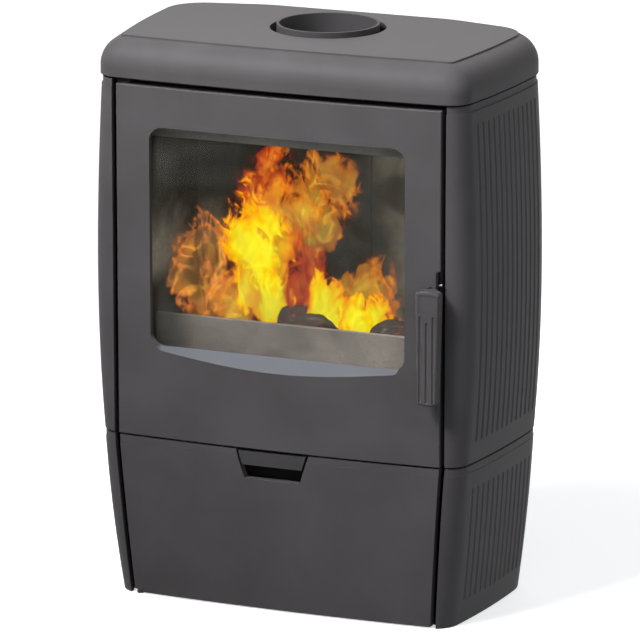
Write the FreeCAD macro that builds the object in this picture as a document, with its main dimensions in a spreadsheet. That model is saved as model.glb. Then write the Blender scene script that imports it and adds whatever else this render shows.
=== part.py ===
"""Cast iron wood stove: a bowed fire door over an ash door, fluted barrel sides, a thick lid and a top flue.

Millimetres, +Z up, +X to the right seen from the front, the doors face -Y. The origin is on the floor,
under the middle of the stove. Shapes are drawn with the front corner plane at y = 0 and placed at front_y.
"""
import FreeCAD
import Part
import math
import os
import re

Vec = FreeCAD.Vector
doc = FreeCAD.newDocument("stove")
sheet = doc.addObject("Spreadsheet::Sheet", "Sizes")

SIZES = {
    # plan outline of the body
    "side_flare": 17.5, "front_bow": 9.5, "front_round": 31.0, "body_depth": 295.0, "wall": 8.0,
    "side_half": 260.5, "rear_taper": 32.0, "side_bow": 7.0, "side_round": 75.0,
    "rear_in": 134.5, "rear_round": 150.0, "rear_clear": 21.0,
    # barrel profile: how far the outline stands in or out at each level
    "floor_inset": 20.0, "floor_lean": 13.0, "low_mid_z": 107.0, "low_mid_inset": 7.7, "low_mid_lean": 4.5,
    "low_top": 211.5, "high_base": 214.5, "swell_z": 396.5, "swell": 8.3, "upper_z": 556.0,
    "upper_swell": 5.7, "panel_top": 670.0,
    # lid and flue
    "lid_base": 673.0, "lid_top": 721.2, "lid_over": 1.5, "lid_round": 36.0, "lid_skin": 12.0,
    "lid_rim": 14.0, "lid_lip": 1.0, "field_rise": 0.8, "field_root": 6.0, "field_inset": 26.0,
    "flue_set": 130.0, "flue_hole_radius": 73.5, "collar_radius": 65.0, "collar_wall": 3.5,
    "collar_top": 727.5, "collar_flange_radius": 92.0, "collar_flange": 7.0, "crown_flange_inset": 6.0,
    "crown_thick": 10.0, "crown_gap": 1.0, "crown_bore": 64.0,
    "bolt_reach": 56.0, "bolt_head_radius": 5.5, "bolt_head": 4.5,
    # panel joints and strips
    "panel_lap": 19.2, "panel_lean": 15.8, "strip_high": 9.0, "strip_step": 1.2,
    # flutes
    "flute_radius": 6.0, "flute_depth": 1.2, "flute_pitch": 14.0, "flute_start": 27.0, "flute_trim": 74.0,
    "flute_high_top": 642.0, "flute_high_base": 244.0, "flute_low_top": 177.0, "flute_low_base": 33.0,
    # doors
    "door_gap": 6.0, "door_base": 214.2, "door_top": 664.9, "door_back": 14.0, "door_edge": 2.0,
    "glass_seat": 3.0, "pocket_clear": 12.0,
    "stile": 46.3, "window_base": 332.0, "window_top": 614.0, "window_round": 18.0,
    "sill_in": 7.5, "sill_base": 325.0, "sill_dip": 14.0, "sill_round": 9.0,
    "hinge_in": 9.0, "hinge_y": 8.5, "pin_radius": 3.5, "pin_fit": 0.06, "pin_reach": 4.6,
    "ash_gap": 7.3, "ash_gap_low": 6.5, "ash_base": 2.0, "ash_top": 211.2, "ash_thick": 12.0,
    "ash_hinge_in": 12.8, "ash_hinge_y": 14.0, "strap_base": 211.65, "strap_top": 213.75, "lug_half": 9.0,
    "ash_pin_radius": 2.5, "foot_radius": 4.6, "foot_high": 5.0, "lug_gap": 0.6,
    "notch_x": -5.0, "notch_half_top": 49.5, "notch_half_base": 37.5, "notch_base": 174.0, "tab_base": 192.0,
    "tab_gap": 3.2, "slide_fit": 0.3, "tab_thick": 12.5, "tab_set": 8.5, "tab_drop": 1.6, "stem_half": 14.0,
    "stem_high": 6.0, "stem_reach": 96.0, "shutter_half": 40.0, "shutter_thick": 4.0,
    # glass, seal and clips
    "glass_over": 11.0, "glass_thick": 4.0, "gasket_thick": 1.5, "gasket_wide": 9.0,
    "rope_radius": 4.0, "rope_in": 16.8, "rope_base": 231.0, "rope_top": 649.0, "rope_corner": 14.0,
    "clip_long": 26.0, "clip_wide": 18.0, "clip_thick": 1.2, "screw_radius": 4.0, "screw_head": 1.2,
    # front frame
    "frame_front": 28.0, "frame_thick": 8.0, "frame_in": 11.0, "frame_low_in": 42.0,
    "opening_in": 25.8, "opening_base": 238.0, "opening_top": 642.0, "lip_front": 22.3, "lip_wide": 16.0,
    "ash_open_in": 40.0, "ash_open_base": 30.0, "ash_open_top": 168.0,
    # firebox
    "hearth_inset": 5.0, "hearth_thick": 8.0, "hearth_clear": 9.0, "grate_half": 78.0, "grate_long": 110.0,
    "grate_set": 77.0, "grate_gap": 0.5, "grate_bar": 7.0, "grate_slot": 7.0, "grate_rim": 10.0,
    "grate_ledge": 3.0,
    "brick_front": 52.0, "brick_set": 59.0, "brick_in": 23.5, "brick_thick": 26.0, "brick_top": 580.0,
    "rear_brick_thick": 22.0, "brick_fit": 0.3, "rear_joint_x": 20.0, "joint_gap": 1.0,
    "baffle_in": 5.0, "baffle_front": 92.0, "baffle_thick": 12.0,
    "guard_in": 6.0, "guard_front": 46.0, "guard_thick": 8.0, "guard_top": 362.0,
    "deflector_lap": 13.0, "deflector_front": 46.2, "deflector_thick": 3.0, "deflector_base": 591.0,
    "rod_in": 16.5, "rod_set": 95.0, "rod_radius": 4.5,
    # base and ash pan
    "base_inset": 8.4, "base_thick": 8.0, "base_front": 30.0, "runner_in": 16.0, "runner_wide": 10.0,
    "runner_high": 16.0, "pan_in": 22.0, "pan_front": 44.0, "pan_set": 55.0, "pan_high": 78.0,
    "pan_wall": 2.5,
    # handle and latch
    "handle_in": 7.3, "handle_top": 445.0, "handle_base": 298.5, "handle_wide_top": 32.0,
    "handle_wide_base": 25.0, "handle_face": 30.0, "handle_thick": 13.0, "handle_round": 3.0,
    "handle_corner": 5.0, "handle_arch": 3.0, "head_base": 418.0, "head_top": 439.0, "head_half": 10.5,
    "head_depth": 0.6,
    "groove_radius": 2.1, "groove_depth": 1.5, "groove_pitch": 8.6, "groove_top": 411.0, "groove_base": 304.0,
    "groove_drop": 8.0,
    "pivot_y": 10.0, "pivot_z": 437.0, "pivot_radius": 3.0, "pivot_fit": 0.06, "boss_radius": 6.5,
    "boss_half": 3.5, "cheek_thick": 3.2, "cheek_gap": 0.4, "hook_gap": 0.8,
    "hook_thick": 2.8, "hook_reach": 19.5, "hook_high": 9.0, "tooth_long": 4.5, "tooth_high": 3.0,
    "bracket_top": 464.0, "bracket_front": 9.0, "stop_z": 447.5, "stop_y": 6.0, "stop_radius": 1.6,
    "stop_reach": 4.2,
    "keeper_gap": 0.6, "keeper_high": 10.0, "keeper_wide": 7.7, "keeper_side": 0.5, "keeper_front": 13.0,
    # one overrun for every cutting tool
    "overrun": 60.0,
}
# sizes that follow from the ones above
FOLLOWING = {
    "front_y": "=(handle_face - body_depth) / 2",
    "front_half": "=side_half - side_flare",
    "rear_half": "=side_half - rear_in",
    "panel_end": "=front_half - panel_lap",
    "panel_end_low": "=panel_end - panel_lean",
    "door_half": "=panel_end - door_gap",
    "window_half": "=door_half - stile",
    "sill_half": "=window_half - sill_in",
    "hinge_x": "=door_half - hinge_in",
    "ash_half_top": "=panel_end - ash_gap",
    "ash_half_base": "=panel_end_low - ash_gap_low",
    "ash_hinge_x": "=hinge_x - ash_hinge_in",
    "rope_half": "=door_half - rope_in",
    "frame_half": "=front_half - frame_in",
    "frame_low_half": "=frame_half - frame_low_in",
    "opening_half": "=door_half - opening_in",
    "ash_open_half": "=frame_low_half - ash_open_in",
    "brick_outer": "=side_half - brick_in",
    "baffle_half": "=brick_outer - baffle_in",
    "guard_half": "=opening_half - guard_in",
    "deflector_half": "=opening_half + deflector_lap",
    "rod_x": "=side_half - rod_in",
    "pan_half": "=ash_open_half - pan_in",
    "runner_x": "=pan_half - runner_in",
    "handle_x": "=door_half - handle_in",
    "side_depth": "=body_depth - rear_taper",
    "rear_plate_half": "=rear_half - rear_clear",
    "rear_base_half": "=rear_half - floor_inset - rear_clear",
    "flue_y": "=body_depth - flue_set",
    "flute_run": "=side_depth - flute_trim",
    "grate_back": "=body_depth - grate_set",
    "grate_front": "=grate_back - grate_long",
    "brick_back": "=body_depth - brick_set",
    "pan_back": "=body_depth - pan_set",
    "rod_y": "=body_depth - rod_set",
}
for row, (alias, value) in enumerate((SIZES | FOLLOWING).items(), 1):
    sheet.set("A%d" % row, alias)
    sheet.set("B%d" % row, str(value))
    sheet.setAlias("B%d" % row, alias)
doc.recompute()

parts = []


def size(alias):
    return float(sheet.get(alias))


def bind(obj, prop, text):
    obj.setExpression(prop, re.sub(r"[a-z][a-z_]+", lambda word: "Sizes." + word.group(0), text))


def node(obj, name, placed=False):
    """Names a finished sub-part and sets it at the front plane's place in the shared frame."""
    obj.Label = name
    if not placed:
        bind(obj, "Placement.Base.y", "front_y")
    parts.append(obj)
    return obj


def block(name, x, y, z, final=False):
    """A box between pairs of sheet expressions along each axis."""
    obj = doc.addObject("Part::Box", name)
    for prop, span in zip(("Length", "Width", "Height"), (x, y, z)):
        bind(obj, prop, "(%s) - (%s)" % (span[1], span[0]))
    bind(obj, "Placement.Base.x", x[0])
    bind(obj, "Placement.Base.y", ("front_y + " if final else "") + "(%s)" % y[0])
    bind(obj, "Placement.Base.z", z[0])
    return node(obj, name, True) if final else obj


def rod(name, radius, x, y, z, final=False):
    """An upright cylinder between two heights."""
    obj = doc.addObject("Part::Cylinder", name)
    bind(obj, "Radius", radius)
    bind(obj, "Height", "(%s) - (%s)" % (z[1], z[0]))
    bind(obj, "Placement.Base.x", x)
    bind(obj, "Placement.Base.y", ("front_y + " if final else "") + "(%s)" % y)
    bind(obj, "Placement.Base.z", z[0])
    return node(obj, name, True) if final else obj


def lying_rod(name, radius, x, y, z, axis):
    """A cylinder along X, or along Y when axis is the Y direction."""
    obj = doc.addObject("Part::Cylinder", name)
    along_x = axis.x > 0
    span = x if along_x else y
    bind(obj, "Radius", radius)
    bind(obj, "Height", "(%s) - (%s)" % (span[1], span[0]))
    obj.Placement.Rotation = FreeCAD.Rotation(Vec(0, 0, 1), axis)
    bind(obj, "Placement.Base.x", x[0] if along_x else x)
    bind(obj, "Placement.Base.y", y if along_x else y[0])
    bind(obj, "Placement.Base.z", z)
    return obj


def cut(name, base, tools):
    tool = tools[0]
    if len(tools) > 1:
        tool = doc.addObject("Part::MultiFuse", name + "_tools")
        tool.Shapes = tools
    obj = doc.addObject("Part::Cut", name)
    obj.Base = base
    obj.Tool = tool
    return obj


def fuse(name, shapes):
    obj = doc.addObject("Part::MultiFuse", name)
    obj.Shapes = shapes
    obj.Refine = True
    return obj


def feature(name, shape):
    obj = doc.addObject("Part::Feature", name)
    obj.Shape = shape
    return obj


def unit(v):
    return v / v.Length


def plan(out, front, inset, z):
    """Closed outline of the body at one level: bowed front and sides, oblique rear corners, flat back."""
    bow, front_half = size("front_bow"), size("front_half")
    r_front = (front_half ** 2 + bow ** 2) / (2 * bow)
    c_front = Vec(0, front - bow + r_front, 0)
    half = front_half + out
    corner = Vec(half, c_front.y - math.sqrt(r_front ** 2 - half ** 2), 0)
    side = Vec(size("side_half") + out, size("side_depth"), 0)
    rear = Vec(size("rear_half") + out, size("body_depth"), 0)
    chord = side - corner
    sag = size("side_bow")
    r_side = (chord.Length ** 2 / 4 + sag ** 2) / (2 * sag)
    inward = unit(Vec(-chord.y, chord.x, 0))
    c_side = (corner + side) / 2 + inward * (r_side - sag)
    along = unit(rear - side)
    into = Vec(-along.y, along.x, 0)
    r1, r2, r3 = size("front_round"), size("side_round"), size("rear_round")

    between = c_side - c_front
    d = between.Length
    a = ((r_front - r1) ** 2 - (r_side - r1) ** 2 + d ** 2) / (2 * d)
    h = math.sqrt((r_front - r1) ** 2 - a ** 2)
    foot = c_front + unit(between) * a
    across = unit(Vec(-between.y, between.x, 0)) * h
    c1 = min((foot + across, foot - across), key=lambda p: p.distanceToPoint(corner))
    start = side + into * r2 - c_side
    b = start.dot(along)
    c = start.dot(start) - (r_side - r2) ** 2
    root = math.sqrt(b * b - c)
    c2 = side + into * r2 + along * min((-b + root, -b - root), key=abs)
    start = side + into * r3
    c3 = start + along * ((size("body_depth") - r3 - start.y) / along.y)

    def arc(p, q, centre, radius):
        mid = centre + unit(unit(p - centre) + unit(q - centre)) * radius
        return (p, mid, q)

    p1 = c_front + unit(c1 - c_front) * (r_front - inset)
    p2 = c_side + unit(c1 - c_side) * (r_side - inset)
    p3 = c_side + unit(c2 - c_side) * (r_side - inset)
    p4 = c2 - into * (r2 - inset)
    p5 = c3 - into * (r3 - inset)
    p6 = Vec(c3.x, size("body_depth") - inset, 0)
    right = [arc(p1, p2, c1, r1 - inset), arc(p2, p3, c_side, r_side - inset), arc(p3, p4, c2, r2 - inset),
             (p4, p5), arc(p5, p6, c3, r3 - inset)]
    flip = lambda p: Vec(-p.x, p.y, 0)
    left = [tuple(flip(p) for p in reversed(run)) for run in reversed(right)]
    runs = [(flip(p1), Vec(0, front - bow + inset, 0), p1)] + right + [(p6, flip(p6))] + left
    rise = Vec(0, 0, z)
    edges = []
    for run in runs:
        points = [p + rise for p in run]
        edges.append(Part.Arc(*points).toShape() if len(points) == 3 else Part.makeLine(*points))
    return Part.Wire(edges), (c_side, r_side, p2, p3)


LOW = (("floor_inset", -1, "floor_lean", 0.0), ("low_mid_inset", -1, "low_mid_lean", size("low_mid_z")),
       (None, 0, None, size("low_top")))
HIGH = ((None, 0, None, size("high_base")), ("swell", 1, None, size("swell_z")),
        ("upper_swell", 1, None, size("upper_z")), (None, 0, None, size("panel_top")))


def level(entry):
    name, sign, lean, z = entry
    return (sign * size(name) if name else 0.0), (size(lean) if lean else 0.0), z


def barrel(entries, inset):
    return Part.makeLoft([plan(out, lean, inset, z)[0] for out, lean, z in map(level, entries)], True, False)


def slab(out, front, inset, z0, z1):
    face = Part.Face(plan(out, front, inset, z0)[0])
    return face.extrude(Vec(0, 0, z1 - z0))


def box(x0, x1, y0, y1, z0, z1):
    return Part.makeBox(x1 - x0, y1 - y0, z1 - z0, Vec(x0, y0, z0))


far = size("overrun") * 6


def flutes(entries, z0, z1):
    """Upright half-round grooves with scooped ends, following the panel's swell."""
    rows = [level(e) for e in entries]
    pitch, radius = size("flute_pitch"), size("flute_radius")
    stand = radius - size("flute_depth")
    count = int(size("flute_run") // pitch) + 1

    def spread(z, i):
        # parabola through the three nearest levels for the stand-out of the outline
        near = sorted(rows, key=lambda r: abs(r[2] - z))[:3]
        out = lean = 0.0
        for a in near:
            w = 1.0
            for b in near:
                if b is not a:
                    w *= (z - b[2]) / (a[2] - b[2])
            out += w * a[0]
            lean += w * a[1]
        c_side, r_side, p, q = plan(out, lean, 0.0, 0.0)[1]
        a0 = math.atan2(p.y - c_side.y, p.x - c_side.x)
        lead = size("flute_start") - size("front_round") + i * pitch
        angle = a0 + (lead + size("front_round") / 2) / r_side
        ray = Vec(math.cos(angle), math.sin(angle), 0)
        return c_side + ray * (r_side + stand) + Vec(0, 0, z)

    tools = []
    steps = 4
    for i in range(count):
        points = [spread(z0 + (z1 - z0) * k / steps, i) for k in range(steps + 1)]
        curve = Part.BSplineCurve()
        curve.interpolate(points)
        spine = Part.Wire([curve.toShape()])
        ring = Part.Wire([Part.Circle(points[0], curve.tangent(curve.FirstParameter)[0], radius).toShape()])
        tools.append(spine.makePipeShell([ring], True, False))
        tools.append(Part.makeSphere(radius, points[0]))
        tools.append(Part.makeSphere(radius, points[-1]))
    return tools


def strip(entry, z0, z1):
    """Ring to take off a panel so that a narrow band stands back from its face."""
    out, lean, _ = entry
    ring = slab(out + size("overrun"), lean - size("overrun"), 0.0, z0, z1)
    return ring.cut(slab(out, lean, size("strip_step"), z0, z1))


# side panels, upper and lower
end, top = size("panel_end"), size("panel_top")
shell = barrel(HIGH, 0.0).cut(barrel(HIGH, size("wall")))
keep = box(0, far, -far, far, 0, top + far).cut(box(0, end, -far, size("side_depth") / 2, -far, top + far))
keep = keep.cut(box(0, size("rear_plate_half"), size("side_depth") / 2, far, -far, top + far))
high = shell.common(keep)
high = high.cut(flutes(HIGH, size("flute_high_base"), size("flute_high_top")))
high = high.cut(strip(level(HIGH[-1]), top - size("strip_high"), top + size("overrun")))
right_panel = node(feature("right_side_panel", high), "right_side_panel")

shell = barrel(LOW, 0.0).cut(barrel(LOW, size("wall")))
slant = [Vec(0, -far, 0), Vec(size("panel_end_low"), -far, 0), Vec(end, -far, size("low_top")),
         Vec(0, -far, size("low_top"))]
wedge = Part.Face(Part.makePolygon(slant + slant[:1])).extrude(Vec(0, far + size("side_depth") / 2, 0))
keep = box(0, far, -far, far, 0, size("low_top")).cut(wedge)
keep = keep.cut(box(0, size("rear_base_half"), size("side_depth") / 2, far, -far, far))
low = shell.common(keep)
low = low.cut(flutes(LOW, size("flute_low_base"), size("flute_low_top")))
low = low.cut(strip(level(LOW[-1]), size("low_top") - size("strip_high"), size("low_top") + size("overrun")))
right_base = node(feature("right_base_panel", low), "right_base_panel")

for name, source in (("left_side_panel", right_panel), ("left_base_panel", right_base)):
    twin = doc.addObject("Part::Mirroring", name)
    twin.Source = source
    twin.Normal = Vec(1, 0, 0)
    node(twin, name, True)

block("rear_panel", ("-rear_plate_half", "rear_plate_half"), ("body_depth - wall", "body_depth"),
      ("high_base", "panel_top"), True)
block("rear_base_panel", ("-rear_base_half", "rear_base_half"), ("body_depth - wall", "body_depth"),
      ("0", "low_top"), True)

# lid with a large rounded edge, hollow beneath, and the flue hole
over, lip = size("lid_over"), -size("lid_lip")
lid = slab(over, lip, 0.0, size("lid_base"), size("lid_top"))
edges = [e for e in lid.Edges if abs(e.BoundBox.ZMin - size("lid_top")) < size("pin_fit")]
edges = [e for e in edges if e.BoundBox.ZLength < size("pin_fit")]
lid = lid.makeFillet(size("lid_round"), edges)
lid_z = size("lid_top")
field = slab(over, lip, size("field_inset"), lid_z - size("field_root"), lid_z + size("field_rise"))
lid = lid.fuse(field).removeSplitter()
lid = lid.cut(slab(over, lip, size("lid_rim"), size("lid_base") - size("overrun"), lid_z - size("lid_skin")))
flue_foot = Vec(0, size("flue_y"), size("lid_base"))
lid = lid.cut(Part.makeCylinder(size("flue_hole_radius"), size("overrun") * 2, flue_foot))
node(feature("top_plate", lid), "top_plate")

# crown casting: flange between lid and panels, thicker plate inside the lid's rim
crown_top = size("lid_base") + size("crown_thick")
crown = slab(0.0, 0.0, size("crown_flange_inset"), top, size("lid_base"))
crown = crown.fuse(slab(over, lip, size("lid_rim") + size("crown_gap"), top, crown_top)).removeSplitter()
crown = crown.cut(Part.makeCylinder(size("crown_bore"), far, Vec(0, size("flue_y"), 0)))
node(feature("crown_plate", crown), "crown_plate")

# flue collar with its flange and four bolts
collar_low = rod("collar_foot", "collar_flange_radius", "0", "flue_y",
                 ("lid_base + crown_thick", "lid_base + crown_thick + collar_flange"))
collar_tall = rod("collar_tube", "collar_radius", "0", "flue_y", ("lid_base + crown_thick", "collar_top"))
collar_bore = rod("collar_bore", "collar_radius - collar_wall", "0", "flue_y",
                  ("lid_base", "collar_top + overrun"))
node(cut("flue_collar", fuse("collar_solid", [collar_low, collar_tall]), [collar_bore]), "flue_collar")

# front frame in two castings with a raised lip round the fire opening
frame_box = block("frame_plate", ("-frame_half", "frame_half"), ("frame_front", "frame_front + frame_thick"),
                  ("high_base", "panel_top"))
lip_box = block("frame_lip", ("-opening_half - lip_wide", "opening_half + lip_wide"),
                ("lip_front", "frame_front + frame_thick"),
                ("opening_base - lip_wide", "opening_top + lip_wide"))
opening = block("frame_opening", ("-opening_half", "opening_half"), ("-overrun", "overrun"),
                ("opening_base", "opening_top"))
node(cut("front_frame", fuse("frame_solid", [frame_box, lip_box]), [opening]), "front_frame")
frame_low = block("frame_low_plate", ("-frame_low_half", "frame_low_half"),
                  ("frame_front", "frame_front + frame_thick"), ("base_thick", "low_top"))
ash_opening = block("ash_opening", ("-ash_open_half", "ash_open_half"), ("-overrun", "overrun"),
                    ("ash_open_base", "ash_open_top"))
slot = block("stem_slot", ("notch_x - stem_half - slide_fit", "notch_x + stem_half + slide_fit"),
             ("-overrun", "overrun"), ("tab_base - slide_fit", "tab_base + stem_high + slide_fit"))
node(cut("ash_frame", frame_low, [ash_opening, slot]), "ash_frame")

# hearth, grate, base, ash pan
hearth_low = size("high_base") - size("hearth_thick")
inset = size("hearth_inset")
hearth = slab(0.0, 0.0, inset, size("low_top"), size("high_base"))
tray = slab(0.0, 0.0, inset + size("hearth_clear"), hearth_low, size("high_base"))
hearth = hearth.fuse(tray).removeSplitter()
front_edge = size("frame_front") + size("frame_thick")
hearth = hearth.cut(box(-end, end, -far, size("frame_front"), 0, far))
hearth = hearth.cut(box(-end, end, -far, front_edge, 0, size("low_top")))
gx, g0, g1, ledge = size("grate_half"), size("grate_front"), size("grate_back"), size("grate_ledge")
hearth = hearth.cut(box(-gx + ledge, gx - ledge, g0 + ledge, g1 - ledge, 0, far))
hearth = hearth.cut(box(-gx, gx, g0, g1, size("high_base") - size("hearth_thick") / 2, far))
node(feature("hearth_plate", hearth), "hearth_plate")

grate = block("grate_plate", ("-grate_half + grate_gap", "grate_half - grate_gap"),
              ("grate_front + grate_gap", "grate_back - grate_gap"),
              ("high_base - hearth_thick / 2", "high_base"))
slots = []
step = size("grate_bar") + size("grate_slot")
for i in range(int((2 * gx - 2 * size("grate_rim")) // step)):
    start = "(-grate_half + grate_rim + %d * (grate_bar + grate_slot))" % i
    slots.append(block("grate_slot_%d" % (i + 1), (start, start + " + grate_slot"),
                       ("grate_front + grate_rim", "grate_back - grate_rim"),
                       ("low_top - overrun", "high_base + overrun")))
node(cut("grate", grate, slots), "grate")

floor_out, floor_lean, _ = level(LOW[0])
base = slab(floor_out, floor_lean, size("base_inset"), 0.0, size("base_thick"))
base = base.cut(box(-far, far, -far, size("base_front") - size("door_edge"), -far, far))
node(feature("base_plate", base), "base_plate")
for name, sign in (("left_pan_runner", "-"), ("right_pan_runner", "+")):
    middle = "(%s1 * runner_x)" % sign
    block(name, (middle + " - runner_wide / 2", middle + " + runner_wide / 2"), ("pan_front", "pan_back"),
          ("base_thick", "base_thick + runner_high"), True)
pan_z = "base_thick + runner_high"
pan = block("pan_solid", ("-pan_half", "pan_half"), ("pan_front", "pan_back"), (pan_z, pan_z + " + pan_high"))
pan_in = block("pan_inside", ("-pan_half + pan_wall", "pan_half - pan_wall"),
               ("pan_front + pan_wall", "pan_back - pan_wall"),
               (pan_z + " + pan_wall", pan_z + " + pan_high + overrun"))
node(cut("ash_pan", pan, [pan_in]), "ash_pan")

# firebox lining, baffle, log guard and tie rods
for name, x in (("left_firebrick", ("-brick_outer", "-brick_outer + brick_thick")),
                ("right_firebrick", ("brick_outer - brick_thick", "brick_outer"))):
    block(name, x, ("brick_front", "brick_back"), ("high_base", "brick_top"), True)
rear_in = size("wall") + size("brick_fit")
rear_ring = slab(0.0, 0.0, rear_in, size("high_base"), size("brick_top"))
rear_ring = rear_ring.cut(slab(0.0, 0.0, rear_in + size("rear_brick_thick"), 0.0, far * 2))
rear_from = size("brick_back") + size("brick_fit")
joint_x = size("rear_joint_x")
for name, x0, x1 in (("left_rear_firebrick", -far, joint_x - size("joint_gap")),
                     ("right_rear_firebrick", joint_x, far)):
    node(feature(name, rear_ring.common(box(x0, x1, rear_from, far, 0, far * 2))), name)
block("baffle_plate", ("-baffle_half", "baffle_half"), ("baffle_front", "brick_back"),
      ("brick_top", "brick_top + baffle_thick"), True)
block("log_guard", ("-guard_half", "guard_half"), ("guard_front", "guard_front + guard_thick"),
      ("high_base", "guard_top"), True)
block("air_deflector", ("-deflector_half", "deflector_half"),
      ("deflector_front", "deflector_front + deflector_thick"), ("deflector_base", "panel_top"), True)
for name, sign in (("left_tie_rod", "-"), ("right_tie_rod", "+")):
    rod(name, "rod_radius", "%s1 * rod_x" % sign, "rod_y", ("high_base", "panel_top"), True)

# fire door: bowed slab, rounded window, arched sill sloping in to the glass
bow, front_half = size("front_bow"), size("front_half")
r_front = (front_half ** 2 + bow ** 2) / (2 * bow)


def front_at(x):
    return -bow + r_front - math.sqrt(r_front ** 2 - x ** 2)


half, back = size("door_half"), size("door_back")
low_z, high_z = size("door_base"), size("door_top")
left_front, right_front = Vec(-half, front_at(half), low_z), Vec(half, front_at(half), low_z)
section = Part.Wire([Part.Arc(left_front, Vec(0, -bow, low_z), right_front).toShape(),
                     Part.makeLine(right_front, Vec(half, back, low_z)),
                     Part.makeLine(Vec(half, back, low_z), Vec(-half, back, low_z)),
                     Part.makeLine(Vec(-half, back, low_z), left_front)])
door = Part.Face(section).extrude(Vec(0, 0, high_z - low_z))
edges = [e for e in door.Edges if e.BoundBox.YMin < -bow / 2 and e.BoundBox.ZMin > (low_z + high_z) / 2]
door = door.makeChamfer(size("strip_step"), edges)
upright = [e for e in door.Edges if e.BoundBox.ZLength > (high_z - low_z) / 2 and e.BoundBox.YMax < back / 2]
door = door.makeFillet(size("door_edge"), upright)


def rounded(x0, x1, z0, z1, radius, y):
    """Rounded rectangle standing in a plane across Y."""
    k = radius * (1 - math.sqrt(0.5))
    corner = []
    for cx, cz, sx, sz in ((x1, z0, 1, -1), (x1, z1, 1, 1), (x0, z1, -1, 1), (x0, z0, -1, -1)):
        on_x, on_z = Vec(cx, y, cz - sz * radius), Vec(cx - sx * radius, y, cz)
        mid = Vec(cx - sx * k, y, cz - sz * k)
        corner.append((on_z, mid, on_x) if sx * sz < 0 else (on_x, mid, on_z))
    edges = []
    for i, run in enumerate(corner):
        edges.append(Part.Arc(*run).toShape())
        edges.append(Part.makeLine(run[2], corner[(i + 1) % 4][0]))
    return Part.Wire(edges)


wh, wz0, wz1 = size("window_half"), size("window_base"), size("window_top")
hole = Part.Face(rounded(-wh, wh, wz0, wz1, size("window_round"), -far)).extrude(Vec(0, far * 2, 0))
door = door.cut(hole)
go, seat = size("glass_over"), size("glass_seat")
pocket = go + size("pocket_clear")
door = door.cut(box(-wh - pocket, wh + pocket, seat, far, wz0 - pocket, wz1 + pocket))
sh, sz = size("sill_half"), size("sill_base")
mid_z = (wz0 + wz1) / 2
front_y = -bow - size("door_edge")


def sill(y, dip, base):
    ends = [Vec(-sh, y, base), Vec(sh, y, base), Vec(sh, y, mid_z), Vec(-sh, y, mid_z)]
    arch = Part.Arc(ends[0], Vec(0, y, base - dip), ends[1]).toShape()
    return Part.Wire([arch] + [Part.makeLine(ends[i], ends[(i + 1) % 4]) for i in (1, 2, 3)])


scoop = Part.makeLoft([sill(front_y, size("sill_dip"), sz), sill(seat, size("pin_fit"), wz0)], True, True)
edges = [e for e in scoop.Edges if e.BoundBox.YLength > back / 2 and e.BoundBox.ZMax < mid_z]
scoop = scoop.makeFillet(size("sill_round"), edges)
door = door.cut(scoop)
node(feature("fire_door", door), "fire_door")

# hinge pins of the fire door stand on its edges and turn in a lug above and a strap below
rod("door_pin_upper", "pin_radius", "-hinge_x", "hinge_y", ("door_top", "door_top + pin_reach"), True)
rod("door_pin_lower", "pin_radius", "-hinge_x", "hinge_y", ("strap_base", "door_base"), True)
lug = block("upper_lug_block", ("-door_half", "-hinge_x + lug_half"),
            ("hinge_y - pin_radius - door_edge", "frame_front"),
            ("panel_top - pin_reach + strip_step / 2", "panel_top"))
lug_hole = rod("upper_lug_hole", "pin_radius + pin_fit", "-hinge_x", "hinge_y",
               ("door_top", "panel_top + overrun"))
node(cut("upper_hinge_lug", lug, [lug_hole]), "upper_hinge_lug")
strap = block("strap_block", ("-door_half", "-ash_hinge_x + 2 * lug_half"),
              ("hinge_y - pin_radius - door_edge", "frame_front"), ("strap_base", "strap_top"))
strap_holes = [rod("strap_hole_fire", "pin_radius + pin_fit", "-hinge_x", "hinge_y",
                   ("low_top - overrun", "high_base + overrun")),
               rod("strap_hole_ash", "ash_pin_radius + pin_fit", "-ash_hinge_x", "ash_hinge_y",
                   ("low_top - overrun", "high_base + overrun"))]
node(cut("hinge_strap", strap, strap_holes), "hinge_strap")

# ash door: leaning front panel with the finger notch, a hinge boss and a cut lower corner
panel = barrel(LOW, 0.0).cut(barrel(LOW, size("ash_thick")))
ht, hb, a0, a1 = (size(k) for k in ("ash_half_top", "ash_half_base", "ash_base", "ash_top"))
outline = [Vec(-hb, -far, a0), Vec(hb, -far, a0), Vec(ht, -far, a1), Vec(-ht, -far, a1)]
region = Part.Face(Part.makePolygon(outline + outline[:1])).extrude(Vec(0, far + size("base_front"), 0))
panel = panel.common(region)
hx, hy, lug_r = -size("ash_hinge_x"), size("ash_hinge_y"), size("lug_half")
boss = box(hx - lug_r, hx + lug_r, size("pin_radius"), hy + size("pin_radius") * 2, a1 - lug_r * 2, a1)
panel = panel.fuse(boss).removeSplitter()
nx, nt, nb, nz = (size(k) for k in ("notch_x", "notch_half_top", "notch_half_base", "notch_base"))
rise = (nt - nb) / (a1 - nz)
over_z = size("overrun")
trapezoid = [Vec(nx - nb, -far, nz), Vec(nx + nb, -far, nz), Vec(nx + nt + rise * over_z, -far, a1 + over_z),
             Vec(nx - nt - rise * over_z, -far, a1 + over_z)]
notch = Part.Face(Part.makePolygon(trapezoid + trapezoid[:1])).extrude(Vec(0, far * 2, 0))
panel = panel.cut(notch)
foot_x, foot_z = hx + size("foot_radius") + size("lug_gap"), size("foot_high") + size("lug_gap")
panel = panel.cut(box(-far, foot_x, -far, far, -far, foot_z))
panel = panel.cut(strip(level(LOW[-1]), a1 - size("strip_high"), a1 + size("overrun")))
node(feature("ash_door", panel), "ash_door")
rod("ash_pin_upper", "ash_pin_radius", "-ash_hinge_x", "ash_hinge_y", ("ash_top", "strap_top"), True)
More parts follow.
